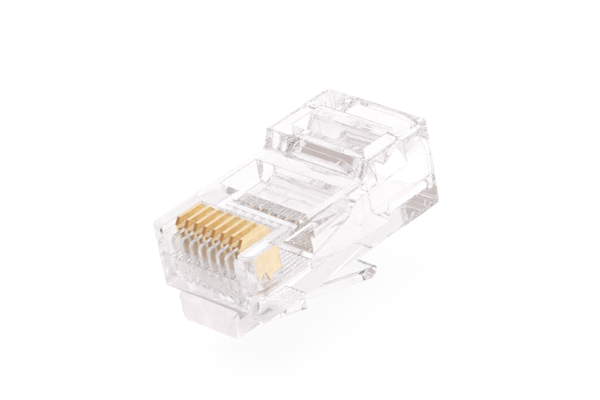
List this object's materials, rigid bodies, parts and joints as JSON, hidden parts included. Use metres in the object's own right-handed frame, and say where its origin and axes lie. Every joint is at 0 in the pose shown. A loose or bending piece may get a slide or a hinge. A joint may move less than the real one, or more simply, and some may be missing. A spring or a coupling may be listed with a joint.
{
  "type": "modular cable plug",
  "caption": "Clear modular plug for network cable, uncrimped: gold contact blades stand in a stepped body with two clamp windows, a rear cable entry and a sprung latch.",
  "frame": {"origin": "on the nose's front plane, on the centreline, level with the underside of the body", "axes": "+X from the nose towards the cable entry, +Y across the contact row towards contact 1, +Z towards the contact side"},
  "size_m": [0.0223, 0.0116, 0.0137],
  "materials": {
    "clear_body": "polished clear polycarbonate",
    "clear_latch": "clear polycarbonate, slightly milky at the root",
    "clear_clamp": "polished clear polycarbonate",
    "gold_plate": "gold plate on phosphor bronze, bright"
  },
  "bodies": {
    "plug_body": {"housing": "clear_body"},
    "latch": {"latch_lever": "clear_latch"},
    "contact_1_body": {"contact_1": "gold_plate"},
    "contact_2_body": {"contact_2": "gold_plate"},
    "contact_3_body": {"contact_3": "gold_plate"},
    "contact_4_body": {"contact_4": "gold_plate"},
    "contact_5_body": {"contact_5": "gold_plate"},
    "contact_6_body": {"contact_6": "gold_plate"},
    "contact_7_body": {"contact_7": "gold_plate"},
    "contact_8_body": {"contact_8": "gold_plate"},
    "conductor_clamp_body": {"conductor_clamp": "clear_clamp"},
    "jacket_clamp_body": {"jacket_clamp": "clear_clamp"}
  },
  "joints": [
    {"name": "latch_flex", "type": "hinge", "parent": "plug_body", "child": "latch", "pos_m": [0.0025, 0, -0.00145], "axis": [0, -1, 0], "range_deg": [0, 12], "stiffness_Nm_per_rad": 0.004},
    {"name": "contact_1_press", "type": "slide", "parent": "plug_body", "child": "contact_1_body", "axis": [0, 0, -1], "range_m": [0, 0.00073]},
    {"name": "contact_2_press", "type": "slide", "parent": "plug_body", "child": "contact_2_body", "axis": [0, 0, -1], "range_m": [0, 0.00073]},
    {"name": "contact_3_press", "type": "slide", "parent": "plug_body", "child": "contact_3_body", "axis": [0, 0, -1], "range_m": [0, 0.00073]},
    {"name": "contact_4_press", "type": "slide", "parent": "plug_body", "child": "contact_4_body", "axis": [0, 0, -1], "range_m": [0, 0.00073]},
    {"name": "contact_5_press", "type": "slide", "parent": "plug_body", "child": "contact_5_body", "axis": [0, 0, -1], "range_m": [0, 0.00073]},
    {"name": "contact_6_press", "type": "slide", "parent": "plug_body", "child": "contact_6_body", "axis": [0, 0, -1], "range_m": [0, 0.00073]},
    {"name": "contact_7_press", "type": "slide", "parent": "plug_body", "child": "contact_7_body", "axis": [0, 0, -1], "range_m": [0, 0.00073]},
    {"name": "contact_8_press", "type": "slide", "parent": "plug_body", "child": "contact_8_body", "axis": [0, 0, -1], "range_m": [0, 0.00073]},
    {"name": "conductor_clamp_press", "type": "hinge", "parent": "plug_body", "child": "conductor_clamp_body", "pos_m": [0.00795, 0, 0.0045], "axis": [0, 1, 0], "range_deg": [0, 15]},
    {"name": "jacket_clamp_press", "type": "hinge", "parent": "plug_body", "child": "jacket_clamp_body", "pos_m": [0.0186, 0, 0.00735], "axis": [0, -1, 0], "range_deg": [0, 35]}
  ]
}
